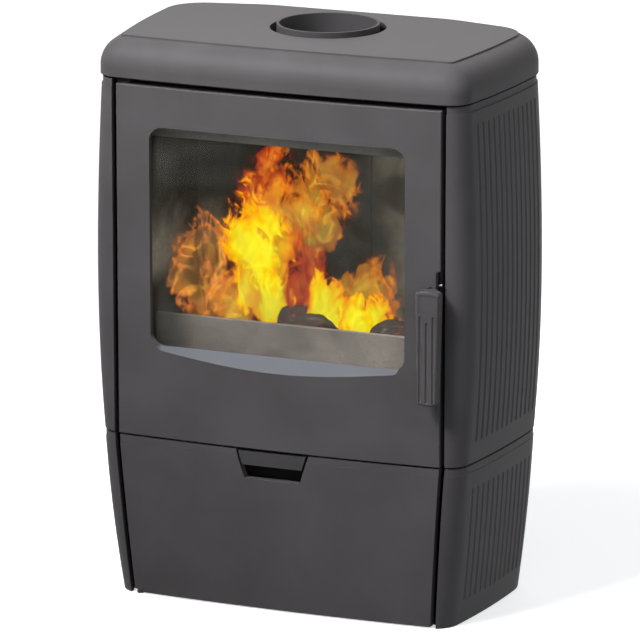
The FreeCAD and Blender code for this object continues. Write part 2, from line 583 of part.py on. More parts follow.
rod("ash_pin_lower", "ash_pin_radius", "-ash_hinge_x", "ash_hinge_y",
    ("ash_base", "foot_high + lug_gap"), True)
foot_round = rod("foot_round", "foot_radius", "-ash_hinge_x", "ash_hinge_y", ("0", "foot_high"))
foot_block = block("foot_block", ("-ash_hinge_x - foot_radius", "-ash_hinge_x + foot_radius"),
                   ("ash_hinge_y", "base_front - door_edge"), ("0", "foot_high"))
foot_hole = rod("foot_hole", "ash_pin_radius + pin_fit", "-ash_hinge_x", "ash_hinge_y",
                ("-overrun", "overrun"))
node(cut("lower_hinge_lug", fuse("foot_solid", [foot_round, foot_block]), [foot_hole]), "lower_hinge_lug")

# air slide: tab in the notch, stem through the frame and a shutter behind it
tb, gap = size("tab_base"), size("tab_gap")
tab_top = a1 - size("tab_drop")
width = lambda z: nb + rise * (z - nz) - gap
tab_y = -size("tab_set")
tab = [Vec(nx - width(tb), tab_y, tb), Vec(nx + width(tb), tab_y, tb),
       Vec(nx + width(tab_top), tab_y, tab_top), Vec(nx - width(tab_top), tab_y, tab_top)]
tab_solid = Part.Face(Part.makePolygon(tab + tab[:1])).extrude(Vec(0, size("tab_thick"), 0))
node(feature("air_slide_tab", tab_solid), "air_slide_tab")
block("air_slide_stem", ("notch_x - stem_half", "notch_x + stem_half"), ("tab_thick - tab_set", "stem_reach"),
      ("tab_base", "tab_base + stem_high"), True)
block("air_slide_shutter", ("notch_x - shutter_half", "notch_x + shutter_half"),
      ("stem_reach", "stem_reach + shutter_thick"), ("tab_base - stem_high", "tab_base + stem_high"), True)

# glass on a gasket, held by four clips; rope seal round the door's back
for name, y0, thick in (("glass_gasket", seat, "gasket_thick"),
                        ("door_glass", seat + size("gasket_thick"), "glass_thick")):
    pane = Part.Face(rounded(-wh - go, wh + go, wz0 - go, wz1 + go, size("window_round"), y0))
    pane = pane.extrude(Vec(0, size(thick), 0))
    if name == "glass_gasket":
        gw = go - size("gasket_wide")
        inner = Part.Face(rounded(-wh - gw, wh + gw, wz0 - gw, wz1 + gw, size("window_round"), -far))
        pane = pane.cut(inner.extrude(Vec(0, far * 2, 0)))
    node(feature(name, pane), name)
clip_y = "glass_seat + gasket_thick + glass_thick"
for name, sx, sz in (("glass_clip_upper_left", -1, 1), ("glass_clip_upper_right", 1, 1),
                     ("glass_clip_lower_left", -1, -1), ("glass_clip_lower_right", 1, -1)):
    x = "%d * window_half / 2" % sx
    edge = "window_top + glass_over" if sz > 0 else "window_base - glass_over"
    z = (edge + " - clip_wide / 2", edge + " + clip_wide / 2")
    inner = (z[0], edge) if sz > 0 else (edge, z[1])
    outer = (edge, z[1]) if sz > 0 else (z[0], edge)
    xs = (x + " - clip_long / 2", x + " + clip_long / 2")
    strap_part = block(name + "_tongue", xs, (clip_y, clip_y + " + clip_thick"), inner)
    foot_part = block(name + "_foot", xs, ("glass_seat", clip_y + " + clip_thick"), outer)
    node(fuse(name, [strap_part, foot_part]), name)
    screw_z = edge + (" + clip_wide / 4" if sz > 0 else " - clip_wide / 4")
    screw_name = name.replace("clip", "screw")
    screw_y = "front_y + %s + clip_thick" % clip_y
    screw_run = (screw_y, screw_y + " + screw_head")
    screw = lying_rod(screw_name, "screw_radius", x, screw_run, screw_z, Vec(0, 1, 0))
    node(screw, screw_name, True)
rope_y = back + size("rope_radius")
rope_half = size("rope_half")
path = rounded(-rope_half, rope_half, size("rope_base"), size("rope_top"), size("rope_corner"), rope_y)
first = path.OrderedVertexes[0].Point
start_edge = path.OrderedEdges[0]
way = start_edge.tangentAt(start_edge.FirstParameter)
ring = Part.Wire([Part.Circle(first, way, size("rope_radius")).toShape()])
node(feature("door_rope_seal", path.makePipeShell([ring], True, False)), "door_rope_seal")

# handle: tapering grooved grip with a bare head, turning with its pivot pin; the hook passes the door's edge
xm, zt, zb, face = size("handle_x"), size("handle_top"), size("handle_base"), -size("handle_face")
wt, wb, arch = size("handle_wide_top") / 2, size("handle_wide_base") / 2, size("handle_arch")
top_right, top_left = Vec(xm + wt, face, zt - arch), Vec(xm - wt, face, zt - arch)
low_left, low_right = Vec(xm - wb, face, zb + arch / 2), Vec(xm + wb, face, zb + arch / 2)
grip_wire = Part.Wire([
    Part.Arc(top_right, Vec(xm, face, zt), top_left).toShape(),
    Part.makeLine(top_left, low_left),
    Part.Arc(low_left, Vec(xm, face, zb), low_right).toShape(),
    Part.makeLine(low_right, top_right)])
grip = Part.Face(grip_wire).extrude(Vec(0, size("handle_thick"), 0))
edges = [e for e in grip.Edges if e.BoundBox.YLength > size("handle_thick") / 2]
grip = grip.makeFillet(size("handle_corner"), edges)
fine = size("pin_fit")
edges = [e for e in grip.Edges if e.BoundBox.YLength < fine and e.BoundBox.YMax < face + fine]
grip = grip.makeFillet(size("handle_round"), edges)
head_half = size("head_half")
head_y = face + size("head_depth")
grip = grip.cut(box(xm - head_half, xm + head_half, -far, head_y, size("head_base"), size("head_top")))
gr, gd = size("groove_radius"), size("groove_depth")
for i in (-1, 0, 1):
    foot = Vec(xm + i * size("groove_pitch"), face + gd - gr, size("groove_base"))
    tall = size("groove_top") - size("groove_base") - (0 if i else size("groove_drop"))
    ends = [Part.makeSphere(gr, foot), Part.makeSphere(gr, foot + Vec(0, 0, tall))]
    grip = grip.cut([Part.makeCylinder(gr, tall, foot)] + ends)
py, pz = -size("pivot_y"), size("pivot_z")
grip_back = face + size("handle_thick")
bh, br = size("boss_half"), size("boss_radius")
across = Vec(1, 0, 0)
boss = Part.makeCylinder(br, bh * 2, Vec(xm - bh, py, pz), across)
boss = boss.fuse(box(xm - bh, xm + bh, grip_back - size("handle_round") / 2, py, pz - br, pz + br))
grip = grip.fuse(boss).removeSplitter()
pr, pf = size("pivot_radius"), size("pivot_fit")
grip = grip.cut(Part.makeCylinder(pr, far, Vec(0, py, pz), across))
node(feature("door_handle", grip), "door_handle")
hook_x = half + size("hook_gap")
cheek = size("cheek_thick")
gap = size("cheek_gap")
pin_start = xm - bh - gap - cheek
pin_end = hook_x + size("hook_thick")
pivot = Part.makeCylinder(pr, pin_end - pin_start, Vec(pin_start, py, pz), across)
node(feature("handle_pivot_pin", pivot), "handle_pivot_pin")
bearing = Part.makeCylinder(pr + pf, far, Vec(0, py, pz), across)
bracket_x = xm + bh + gap
for name, x0 in (("handle_cheek_left", pin_start), ("handle_cheek_right", bracket_x)):
    plate = box(x0, x0 + cheek, py, back / 2, pz - br, pz + br)
    plate = plate.fuse(Part.makeCylinder(br, cheek, Vec(x0, py, pz), across))
    if x0 == bracket_x:
        plate = plate.fuse(box(x0, x0 + cheek, -size("bracket_front"), back / 2, pz, size("bracket_top")))
    plate = plate.removeSplitter().cut(bearing)
    node(feature(name, plate.cut(door)), name)
stop_foot = Vec(bracket_x + cheek, -size("stop_y"), size("stop_z"))
stop_pin = Part.makeCylinder(size("stop_radius"), size("stop_reach"), stop_foot, across)
node(feature("latch_stop_pin", stop_pin), "latch_stop_pin")
hh, tip = size("hook_high") / 2, size("hook_reach")
hook = box(hook_x, pin_end, py, tip, pz - hh, pz + hh)
hook = hook.fuse(Part.makeCylinder(hh + pf, pin_end - hook_x, Vec(hook_x, py, pz), across))
tooth = box(hook_x, pin_end, tip - size("tooth_long"), tip, pz, pz + hh + size("tooth_high"))
hook = hook.fuse(tooth).removeSplitter()
hook = hook.cut(Part.makeCylinder(pr, far, Vec(0, py, pz), across))
node(feature("latch_hook", hook), "latch_hook")
keeper_z = pz + hh + size("tooth_high") + size("keeper_gap")
keeper_x = half + size("keeper_side")
keeper = box(keeper_x, keeper_x + size("keeper_wide"), size("keeper_front"), size("frame_front"),
             keeper_z, keeper_z + size("keeper_high"))
node(feature("latch_keeper", keeper), "latch_keeper")

# collar bolts on the flange
foot_z = "lid_base + crown_thick + collar_flange"
for end_name, sy in (("front", -1), ("rear", 1)):
    for side_name, sx in (("left", -1), ("right", 1)):
        rod("collar_bolt_%s_%s" % (end_name, side_name), "bolt_head_radius", "%d * bolt_reach" % sx,
            "flue_y + (%d * bolt_reach)" % sy, (foot_z, foot_z + " + bolt_head"), True)

doc.recompute()
os.makedirs("parts", exist_ok=True)
for obj in doc.Objects:
    if "Invalid" in obj.State or "Error" in obj.State:
        raise RuntimeError("%s did not compute" % obj.Name)
for obj in parts:
    if obj.Shape.isNull() or not obj.Shape.isValid():
        raise RuntimeError("%s has no valid shape" % obj.Label)
for obj in parts:
    obj.Shape.exportStep("parts/%s.step" % obj.Label)
    print(obj.Label, len(obj.Shape.Solids), round(obj.Shape.Volume), [round(v, 1) for v in (
        obj.Shape.BoundBox.XMin, obj.Shape.BoundBox.XMax, obj.Shape.BoundBox.YMin, obj.Shape.BoundBox.YMax,
        obj.Shape.BoundBox.ZMin, obj.Shape.BoundBox.ZMax)])
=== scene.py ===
"""Looks for the cast iron stove: matt grey iron, dark inner castings, pale lining, glass and a wood fire."""

import math

import bmesh
import bpy
from mathutils import Euler, Matrix, Vector, noise


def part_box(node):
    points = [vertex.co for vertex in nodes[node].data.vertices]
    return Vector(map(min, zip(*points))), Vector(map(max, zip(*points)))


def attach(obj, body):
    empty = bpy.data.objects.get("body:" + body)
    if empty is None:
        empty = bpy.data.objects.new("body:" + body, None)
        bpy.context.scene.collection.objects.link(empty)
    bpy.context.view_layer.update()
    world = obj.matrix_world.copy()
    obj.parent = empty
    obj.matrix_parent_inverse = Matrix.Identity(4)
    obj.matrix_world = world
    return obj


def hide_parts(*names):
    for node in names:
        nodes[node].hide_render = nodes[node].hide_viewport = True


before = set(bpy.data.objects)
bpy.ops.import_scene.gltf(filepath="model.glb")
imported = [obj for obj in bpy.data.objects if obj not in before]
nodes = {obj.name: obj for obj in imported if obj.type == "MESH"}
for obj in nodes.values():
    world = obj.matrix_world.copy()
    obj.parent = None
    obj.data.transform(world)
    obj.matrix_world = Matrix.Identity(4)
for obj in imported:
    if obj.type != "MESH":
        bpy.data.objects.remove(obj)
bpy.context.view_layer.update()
BODY = "stove_body"
DOOR = "fire_door_leaf"

# measures of the frame, in metres
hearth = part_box("hearth_plate")[1].z
guard_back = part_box("log_guard")[1].y
baffle_low, baffle_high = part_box("baffle_plate")
fire_back = baffle_high.y
middle_y = (guard_back + fire_back) / 2
pane_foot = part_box("door_glass")[0].z
deflector_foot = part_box("air_deflector")[0].z
rope_low, rope_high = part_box("door_rope_seal")
tape_low, tape_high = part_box("glass_gasket")


def tone(r, g, b):
    """An sRGB colour given in 0 to 255, as linear light."""
    shares = (r / 255, g / 255, b / 255)
    return tuple(c / 12.92 if c <= 0.04 else ((c + 0.055) / 1.055) ** 2.4 for c in shares) + (1.0,)


# shader groups

# the range in which most of a noise value lies
MID_NOISE = (0.3, 0.7)


def new_group(name, inputs, outputs):
    """An empty shader group with its sockets, and its two end nodes."""
    group = bpy.data.node_groups.new(name, "ShaderNodeTree")
    for label, kind, default in inputs:
        socket = group.interface.new_socket(label, in_out="INPUT", socket_type=kind)
        socket.default_value = default
    for label, kind in outputs:
        group.interface.new_socket(label, in_out="OUTPUT", socket_type=kind)
    return group, group.nodes.new("NodeGroupInput"), group.nodes.new("NodeGroupOutput")


def noise_node(tree, vector, scale, detail=3.0, rough=0.55, distortion=0.0):
    """A noise value between 0 and 1. The scale is a number or a socket."""
    tex = tree.nodes.new("ShaderNodeTexNoise")
    tex.inputs["Detail"].default_value = detail
    tex.inputs["Roughness"].default_value = rough
    tex.inputs["Distortion"].default_value = distortion
    if isinstance(scale, (int, float)):
        tex.inputs["Scale"].default_value = scale
    else:
        tree.links.new(scale, tex.inputs["Scale"])
    tree.links.new(vector, tex.inputs["Vector"])
    return tex.outputs["Fac"]


def math_node(tree, kind, a, b=None, c=None, clamp=False):
    """One sum on numbers or sockets."""
    node = tree.nodes.new("ShaderNodeMath")
    node.operation = kind
    node.use_clamp = clamp
    for socket, value in zip(node.inputs, (a, b, c)):
        if value is None:
            continue
        if isinstance(value, (int, float)):
            socket.default_value = value
        else:
            tree.links.new(value, socket)
    return node.outputs[0]


def span(tree, value, low, high, to_low=0.0, to_high=1.0, smooth=False):
    """A value moved from the range low to high into the range to_low to to_high, and held there."""
    node = tree.nodes.new("ShaderNodeMapRange")
    node.interpolation_type = "SMOOTHSTEP" if smooth else "LINEAR"
    for label, number in (("From Min", low), ("From Max", high), ("To Min", to_low), ("To Max", to_high)):
        node.inputs[label].default_value = number
    tree.links.new(value, node.inputs["Value"])
    return node.outputs["Result"]


def blend(tree, fac, a, b):
    """Colour a turning into colour b as fac goes from 0 to 1."""
    node = tree.nodes.new("ShaderNodeMix")
    node.data_type = "RGBA"
    for socket, value in ((node.inputs["Factor"], fac), (node.inputs[6], a), (node.inputs[7], b)):
        if isinstance(value, (int, float, tuple)):
            socket.default_value = value
        else:
            tree.links.new(value, socket)
    return node.outputs[2]


def ramp(tree, value, stops):
    """A colour read off a list of stops, each a place between 0 and 1 and its colour."""
    node = tree.nodes.new("ShaderNodeValToRGB")
    elements = node.color_ramp.elements
    while len(elements) < len(stops):
        elements.new(0.5)
    for element, (place, colour) in zip(elements, stops):
        element.position = place
        element.color = colour
    tree.links.new(value, node.inputs["Fac"])
    return node.outputs["Color"]


def cast_grain():
    """Fine sand-cast grain under paint: speck for colour, cloud for slow mottling, height for the bump."""
    group, start, end = new_group(
        "cast_grain",
        (("Vector", "NodeSocketVector", (0, 0, 0)), ("Grain", "NodeSocketFloat", 900.0),
         ("Cloud", "NodeSocketFloat", 9.0)),
        (("Speck", "NodeSocketFloat"), ("Cloud", "NodeSocketFloat"), ("Height", "NodeSocketFloat")))
    fine = noise_node(group, start.outputs["Vector"], start.outputs["Grain"], 2.0, 0.6)
    slow = noise_node(group, start.outputs["Vector"], start.outputs["Cloud"], 4.0, 0.55, 0.4)
    pits = noise_node(group, start.outputs["Vector"], 260.0, 2.0, 0.5)
    group.links.new(fine, end.inputs["Speck"])
    group.links.new(slow, end.inputs["Cloud"])
    height = math_node(group, "MULTIPLY_ADD", pits, 0.6, fine)
    group.links.new(height, end.inputs["Height"])
    return group


# soot and painted shade on the lining and guard: x, y from the fire's middle, height over the hearth, reach
# to the sides and up, weight
PLUMES = (
    (-0.15, 0.1075, 0.3655, 0.20, 0.14, 1.0),
    (-0.05, 0.1075, 0.2255, 0.10, 0.20, 0.9),
    (-0.20, 0.0675, 0.1355, 0.05, 0.05, 1.0),
    (0.10, 0.1075, 0.2755, 0.12, 0.03, 0.8),
    (0.10, 0.1075, 0.3855, 0.30, 0.035, 0.6),
    # painted shadow over the guard's left end
    (-0.13, -0.0125, 0.1225, 0.17, 0.017, 0.9),
)
PLUME_DEPTH = 0.60


def soot_and_shade_stain():
    """A mask for soot and painted shade on the lining: soft dark plumes about given places, broken up by
    noise.
    """
    group, start, end = new_group(
        "soot_and_shade_stain", (("Vector", "NodeSocketVector", (0, 0, 0)),), (("Soot_and_shade", "NodeSocketFloat"),))
    cloud = noise_node(group, start.outputs["Vector"], 9.0, 5.0, 0.6, 0.8)
    total = None
    for x, y, height, reach_side, reach_up, weight in PLUMES:
        move = group.nodes.new("ShaderNodeMapping")
        move.vector_type = "TEXTURE"
        move.inputs["Location"].default_value = (x, middle_y + y, hearth + height)
        move.inputs["Scale"].default_value = (reach_side, PLUME_DEPTH, reach_up)
        group.links.new(start.outputs["Vector"], move.inputs["Vector"])
        size = group.nodes.new("ShaderNodeVectorMath")
        size.operation = "LENGTH"
        group.links.new(move.outputs["Vector"], size.inputs[0])
        ragged = math_node(group, "MULTIPLY_ADD", cloud, 0.9, size.outputs["Value"])
        plume = span(group, ragged, 1.15, 1.75, weight, 0.0, True)
        total = plume if total is None else math_node(group, "MAXIMUM", total, plume)
    group.links.new(total, end.inputs["Soot_and_shade"])
    return group


GRAIN = cast_grain()
SOOT_AND_SHADE = soot_and_shade_stain()


# materials


def material(name):
    """A new material with its tree, its shader and its Object coordinates."""
    mat = bpy.data.materials.new(name)
    mat.use_nodes = True
    tree = mat.node_tree
    shader = tree.nodes["Principled BSDF"]
    coords = tree.nodes.new("ShaderNodeTexCoord")
    return mat, tree, shader, coords.outputs["Object"]


def place_group(tree, group, vector, **values):
    """A shader group set into a material, with its own values for the named inputs."""
    node = tree.nodes.new("ShaderNodeGroup")
    node.node_tree = group
    tree.links.new(vector, node.inputs["Vector"])
    for label, value in values.items():
        node.inputs[label.title()].default_value = value
    return node


def bump(tree, shader, height, strength, distance):
    """A height turned into the shader's normal, as deep as the distance in metres."""
    node = tree.nodes.new("ShaderNodeBump")
    node.inputs["Strength"].default_value = strength
    node.inputs["Distance"].default_value = distance
    tree.links.new(height, node.inputs["Height"])
    tree.links.new(node.outputs["Normal"], shader.inputs["Normal"])


LEDGE_FADE = 0.004
PAINT_SPECULAR = 0.08


def cast_paint(name, dark, light, rough=(0.48, 0.60), grain=900.0, depth=0.00016, ledge=None):
    """Matt heat paint over a fine casting: slow mottling, tiny specks and a faint pebbled surface.

    A pale bluish tone is painted on the faces that look upwards between the two ledge heights: a painted sky
    reflection on the sill.
    """
    mat, tree, shader, coords = material(name)
    cast = place_group(tree, GRAIN, coords, grain=grain)
    speck = span(tree, cast.outputs["Speck"], *MID_NOISE, -0.09, 0.09)
    mix = math_node(tree, "ADD", span(tree, cast.outputs["Cloud"], *MID_NOISE), speck, clamp=True)
    paint = blend(tree, mix, dark, light)
    if ledge:
        facing = tree.nodes.new("ShaderNodeNewGeometry")
        place = tree.nodes.new("ShaderNodeSeparateXYZ")
        slope = tree.nodes.new("ShaderNodeSeparateXYZ")
        tree.links.new(coords, place.inputs[0])
        tree.links.new(facing.outputs["Normal"], slope.inputs[0])
        above = span(tree, place.outputs["Z"], ledge[0], ledge[0] + LEDGE_FADE)
        below = span(tree, place.outputs["Z"], ledge[1], ledge[1] - LEDGE_FADE)
        # painted sky reflection: upward faces about the sill turn pale bluish
        painted_reflection = math_node(tree, "MULTIPLY", math_node(tree, "MULTIPLY", above, below),
                         span(tree, slope.outputs["Z"], 0.15, 0.40, 0.0, 0.9, True))
        paint = blend(tree, painted_reflection, paint, tone(97, 98, 103))
    tree.links.new(paint, shader.inputs["Base Color"])
    tree.links.new(span(tree, cast.outputs["Cloud"], *MID_NOISE, *rough), shader.inputs["Roughness"])
    shader.inputs["Specular IOR Level"].default_value = PAINT_SPECULAR
    bump(tree, shader, cast.outputs["Height"], 0.35, depth)
    return mat


def lining_board(name, pale, deep, soot_and_shade_share, darker_above=None):
    """Dry lining board: sandy flecks, soft stains, plumes of soot and painted shade, darker and browner above
    two given heights.
    """
    mat, tree, shader, coords = material(name)
    cast = place_group(tree, GRAIN, coords, grain=420.0, cloud=16.0)
    plume_mask = place_group(tree, SOOT_AND_SHADE, coords)
    base = blend(tree, span(tree, cast.outputs["Cloud"], 0.32, 0.68), deep, pale)
    fleck = blend(tree, span(tree, cast.outputs["Speck"], 0.55, 0.72, 0.0, 0.4), base, tone(92, 84, 72))
    # the plumes darken the board as soot and as painted shade
    sooty_and_shaded = blend(tree, math_node(tree, "MULTIPLY", plume_mask.outputs["Soot_and_shade"], soot_and_shade_share), fleck, tone(44, 43, 40))
    if darker_above:
        split = tree.nodes.new("ShaderNodeSeparateXYZ")
        tree.links.new(coords, split.inputs[0])
        # darker and browner above the two given heights
        sooty_and_shaded = blend(tree, span(tree, split.outputs["Z"], *darker_above, 0.0, 0.85, True), sooty_and_shaded, tone(92, 87, 80))
    tree.links.new(sooty_and_shaded, shader.inputs["Base Color"])
    shader.inputs["Roughness"].default_value = 0.9
    shader.inputs["Specular IOR Level"].default_value = 0.2
    bump(tree, shader, cast.outputs["Height"], 0.6, 0.0006)
    return mat


def dull_steel(name, colour, rough):
    """Plain steel with worn, darker patches and a fine grain."""
    mat, tree, shader, coords = material(name)
    cast = place_group(tree, GRAIN, coords, grain=1500.0, cloud=60.0)
    worn = tuple(c * 0.6 for c in colour[:3]) + (1,)
    tree.links.new(blend(tree, cast.outputs["Cloud"], worn, colour), shader.inputs["Base Color"])
    dull = span(tree, cast.outputs["Speck"], *MID_NOISE, rough - 0.08, rough + 0.1)
    tree.links.new(dull, shader.inputs["Roughness"])
    shader.inputs["Metallic"].default_value = 1.0
    bump(tree, shader, cast.outputs["Height"], 0.15, 0.0001)
    return mat


def door_pane(name):
    """Clear heat-proof glass with a faint smoke film in soft patches; its greenish grey is also a painted
    reflection of the surroundings.
    """
    mat, tree, shader, coords = material(name)
    film_and_reflection = noise_node(tree, coords, 5.0, 4.0, 0.6, 1.2)
    # smoke film and painted reflection: a thin greenish grey layer over the glass
    haze_and_reflection = blend(tree, span(tree, film_and_reflection, 0.35, 0.7), tone(52, 54, 50), tone(90, 92, 84))
    tree.links.new(haze_and_reflection, shader.inputs["Base Color"])
    tree.links.new(span(tree, film_and_reflection, 0.36, 0.68, 0.03, 0.16, True), shader.inputs["Alpha"])
    shader.inputs["Roughness"].default_value = 0.04
    shader.inputs["IOR"].default_value = 1.47
    return mat


def woven_rope(name, colour):
    """Knitted glass rope: small crossing stitches along the tube, from its own UV map, with painted shade in
    the hollows between them.
    """
    mat, tree, shader, coords = material(name)
    uv = tree.nodes.new("ShaderNodeUVMap")
    uv.uv_map = "weave"
    wave_a = tree.nodes.new("ShaderNodeTexWave")
    wave_b = tree.nodes.new("ShaderNodeTexWave")
    for wave, turn in ((wave_a, 45), (wave_b, -45)):
        move = tree.nodes.new("ShaderNodeMapping")
        move.inputs["Rotation"].default_value = (0, 0, math.radians(turn))
        tree.links.new(uv.outputs["UV"], move.inputs["Vector"])
        tree.links.new(move.outputs["Vector"], wave.inputs["Vector"])
        wave.inputs["Scale"].default_value = 1.2
    knit = math_node(tree, "MAXIMUM", wave_a.outputs["Fac"], wave_b.outputs["Fac"])
    dirt = noise_node(tree, coords, 40.0, 4.0)
    # painted shade: the knit's low hollows take a third of the colour
    base = blend(tree, knit, tuple(c * 0.35 for c in colour[:3]) + (1,), colour)
    grimy = blend(tree, span(tree, dirt, 0.4, 0.7, 0.0, 0.6), base, tone(40, 38, 36))
    tree.links.new(grimy, shader.inputs["Base Color"])
    shader.inputs["Roughness"].default_value = 0.95
    bump(tree, shader, knit, 0.8, 0.0008)
    return mat


def log_bark(name):
    """Charred bark: long cracks along the log, grey ash on the ridges, a dull glow in the deepest cracks."""
    mat, tree, shader, coords = material(name)
    stretch = tree.nodes.new("ShaderNodeMapping")
    stretch.inputs["Scale"].default_value = (14.0, 70.0, 70.0)
    tree.links.new(coords, stretch.inputs["Vector"])
    crack = noise_node(tree, stretch.outputs["Vector"], 1.0, 5.0, 0.65, 0.8)
    base = ramp(tree, crack, ((0.3, tone(20, 16, 14)), (0.55, tone(52, 42, 36)), (0.75, tone(110, 100, 90))))
    tree.links.new(base, shader.inputs["Base Color"])
    heat = ((0.26, (1.0, 0.18, 0.02, 1)), (0.36, (0.25, 0.02, 0.0, 1)), (0.42, (0, 0, 0, 1)))
    glow = ramp(tree, crack, heat)
    tree.links.new(glow, shader.inputs["Emission Color"])
    shader.inputs["Emission Strength"].default_value = 0.8
    shader.inputs["Roughness"].default_value = 0.9
    bump(tree, shader, crack, 0.9, 0.004)
    return mat


def ember_glow(name):
    """Grey ash that glows red in its hollows."""
    mat, tree, shader, coords = material(name)
    lump = noise_node(tree, coords, 55.0, 4.0, 0.6, 0.5)
    ash = ramp(tree, lump, ((0.3, tone(30, 24, 22)), (0.7, tone(120, 112, 104))))
    tree.links.new(ash, shader.inputs["Base Color"])
    glow = ramp(tree, lump, ((0.34, (1.0, 0.2, 0.02, 1)), (0.5, (0.4, 0.03, 0.0, 1)), (0.6, (0, 0, 0, 1))))
    tree.links.new(glow, shader.inputs["Emission Color"])
    shader.inputs["Emission Strength"].default_value = 1.2
    shader.inputs["Roughness"].default_value = 0.95
    bump(tree, shader, lump, 0.8, 0.006)
    return mat


def flame_tongue(name, stops, strength, fill, wisp, gap=0.0):
    """Fire seen as a torn sheet: hot inside, ragged at its edges, broken into thin wisps by the wisp share.

    The gap share is how far the sheet thins out between gusts. The UV map runs across and up the tongue.
    """
    mat, tree, shader, coords = material(name)
    uv = tree.nodes.new("ShaderNodeUVMap")
    uv.uv_map = "tongue"
    split = tree.nodes.new("ShaderNodeSeparateXYZ")
    tree.links.new(uv.outputs["UV"], split.inputs[0])
    stretch = tree.nodes.new("ShaderNodeMapping")
    stretch.inputs["Scale"].default_value = (1.0, 1.0, 0.6)
    tree.links.new(coords, stretch.inputs["Vector"])
    swirl = noise_node(tree, stretch.outputs["Vector"], 17.0, 2.0, 0.5, 1.8)
    tear = noise_node(tree, stretch.outputs["Vector"], 42.0, 5.0, 0.62, 2.6)
    curl = noise_node(tree, stretch.outputs["Vector"], 21.0, 2.0, 0.5, 2.8)
    gust = noise_node(tree, stretch.outputs["Vector"], 26.0, 3.0, 0.6, 1.0)
    across = math_node(tree, "ABSOLUTE", math_node(tree, "MULTIPLY_ADD", split.outputs["X"], 2.0, -1.0))
    body = math_node(tree, "SUBTRACT", 1.0, math_node(tree, "POWER", across, 1.9))
    away = span(tree, split.outputs["Y"], 0.35, 1.0, 0.0, 1.0)
    below = span(tree, split.outputs["Y"], 0.35, 0.0, 0.0, 0.7)
    rise = math_node(tree, "SUBTRACT", 1.0, math_node(tree, "POWER", away, 1.6))
    rise = math_node(tree, "SUBTRACT", rise, math_node(tree, "POWER", below, 2.0))
    shape = math_node(tree, "MULTIPLY", body, rise)
    shape = math_node(tree, "MULTIPLY", shape, span(tree, split.outputs["Y"], 0.0, 0.14))
    torn = math_node(tree, "MULTIPLY_ADD", math_node(tree, "SUBTRACT", swirl, 0.5), 1.6, shape)
    torn = math_node(tree, "MULTIPLY_ADD", math_node(tree, "SUBTRACT", tear, 0.5), 1.3, torn)
    solid = span(tree, torn, 0.36, 0.56, 0.0, 1.0, True)
    # thin threads run where the curl noise crosses its middle value
    crest = math_node(tree, "ABSOLUTE", math_node(tree, "MULTIPLY_ADD", curl, 2.0, -1.0))
    thread = span(tree, crest, 0.02, 0.22, 1.0, 0.0, True)
    thread = math_node(tree, "MULTIPLY", thread, span(tree, gust, 0.36, 0.60, 0.15, 1.0, True))
    thread = math_node(tree, "MULTIPLY", thread, span(tree, torn, 0.12, 0.42, 0.0, 1.0, True))
    solid = math_node(tree, "MULTIPLY", solid, span(tree, gust, 0.42, 0.58, 1.0 - gap, 1.0, True))
    mask = math_node(tree, "MULTIPLY", solid, 1.0 - wisp)
    mask = math_node(tree, "MULTIPLY_ADD", thread, wisp, mask)
    mask = math_node(tree, "MULTIPLY", mask, fill, clamp=True)
    edge = span(tree, shape, 0.02, 0.30)
    tree.links.new(math_node(tree, "MULTIPLY", mask, edge), shader.inputs["Alpha"])
    tree.links.new(ramp(tree, torn, stops), shader.inputs["Emission Color"])
    path = tree.nodes.new("ShaderNodeLightPath")
    # the sheets light the lining less than they shine
    glow = span(tree, path.outputs["Is Diffuse Ray"], 0.0, 1.0, strength, strength * 0.3)
    tree.links.new(glow, shader.inputs["Emission Strength"])
    shader.inputs["Base Color"].default_value = (0, 0, 0, 1)
    shader.inputs["Specular IOR Level"].default_value = 0.0
    shader.inputs["Roughness"].default_value = 1.0
    return mat


GREY_TONES = (tone(73, 70, 70), tone(83, 80, 80))
GREY = cast_paint("matt_grey_iron", *GREY_TONES)
SILL_REACH = 0.030
# the fire door's paint, with a painted sky reflection on the upward faces about the sill
SILL = cast_paint("iron_with_painted_sill_reflection", *GREY_TONES, ledge=(pane_foot - SILL_REACH, pane_foot + SILL_REACH))
DARK = cast_paint("dark_inner_iron", tone(36, 35, 35), tone(50, 48, 48), rough=(0.6, 0.8), grain=600.0,
                  depth=0.0003)
# the darker sheet paint, also put on the flue collar as painted shade for its bore
SHEET_AND_BORE_SHADE = cast_paint("grey_sheet_and_bore_shade", tone(60, 58, 58), tone(69, 67, 67), rough=(0.5, 0.62), grain=1200.0,
                   depth=0.00006)
BLACK = cast_paint("black_latch", tone(18, 18, 18), tone(28, 27, 27), rough=(0.4, 0.55), grain=1200.0,
                   depth=0.00006)
STEEL = dull_steel("dull_steel", tone(150, 150, 152), rough=0.42)
BRICK = lining_board("lining_board", tone(186, 184, 170), tone(136, 135, 124), soot_and_shade_share=0.9)
# its small soot share paints a shadow on the guard's left end
GUARD = lining_board("guard_board", tone(157, 148, 136), tone(126, 118, 109), soot_and_shade_share=0.2)
